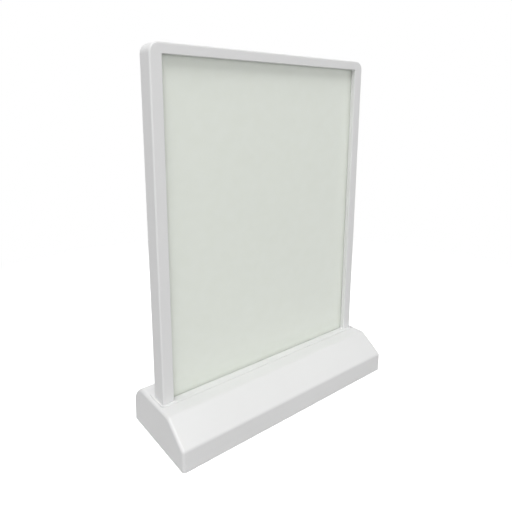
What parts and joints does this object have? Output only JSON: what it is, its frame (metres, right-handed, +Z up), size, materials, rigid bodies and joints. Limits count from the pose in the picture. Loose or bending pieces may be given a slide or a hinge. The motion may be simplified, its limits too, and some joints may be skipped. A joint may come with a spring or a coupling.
{
  "type": "cinema light box",
  "caption": "Countertop cinema light box: upright edge-lit display head with a blank glossy window, standing in a wide low base with a sloping front.",
  "frame": {"origin": "on the table under the middle of the base", "axes": "+Z up, the window looks towards -Y, +X along the width"},
  "size_m": [0.2402, 0.086, 0.3191],
  "materials": {
    "shell": "moulded, fine satin texture",
    "cradle": "moulded, fine satin texture",
    "window": "clear glossy sheet",
    "sheet": "blank translucent sheet",
    "diffuser": "opal, matt",
    "guide": "clear, polished",
    "reflector": "white film",
    "dark_plastic": "moulded, satin",
    "circuit": "white solder resist",
    "circuit_green": "green solder resist",
    "led": "phosphor gel",
    "screw": "zinc plated",
    "spring_metal": "nickel plated",
    "cell": "plain sleeve, satin",
    "foot": "matt",
    "lead": "smooth sheath"
  },
  "bodies": {
    "light_box": {"head_frame": "shell", "front_window": "window", "sheet_guide": "diffuser", "diffuser_panel": "diffuser", "light_guide": "guide", "reflector_sheet": "reflector", "led_board_left": "circuit", "led_board_right": "circuit", "leds": "led", "rear_cover": "shell", "cover_screws": "screw", "base_housing": "shell", "head_cradle": "cradle", "head_screws": "screw", "base_plate": "shell", "base_screws": "screw", "rubber_feet": "foot", "battery_cells": "cell", "cell_contacts": "spring_metal", "control_board": "circuit_green", "board_parts": "dark_plastic", "board_screws": "screw", "usb_socket": "spring_metal", "switch_body": "dark_plastic", "switch_terminals": "spring_metal", "led_lead_left": "lead", "led_lead_right": "lead", "battery_lead": "lead", "switch_lead": "lead"},
    "sheet": {"insert_sheet": "sheet"},
    "door": {"battery_door": "shell"},
    "rocker": {"power_rocker": "dark_plastic"}
  },
  "joints": [
    {"name": "sheet_slide", "type": "slide", "parent": "light_box", "child": "sheet", "axis": [0, 0, 1], "range_m": [0, 0.26]},
    {"name": "battery_door_slide", "type": "slide", "parent": "light_box", "child": "door", "axis": [0, 1, 0], "range_m": [0, 0.058]},
    {"name": "power_rocker_tilt", "type": "hinge", "parent": "light_box", "child": "rocker", "pos_m": [0.07, 0.0378, 0.0134], "axis": [1, 0, 0], "range_deg": [0, 20]}
  ]
}
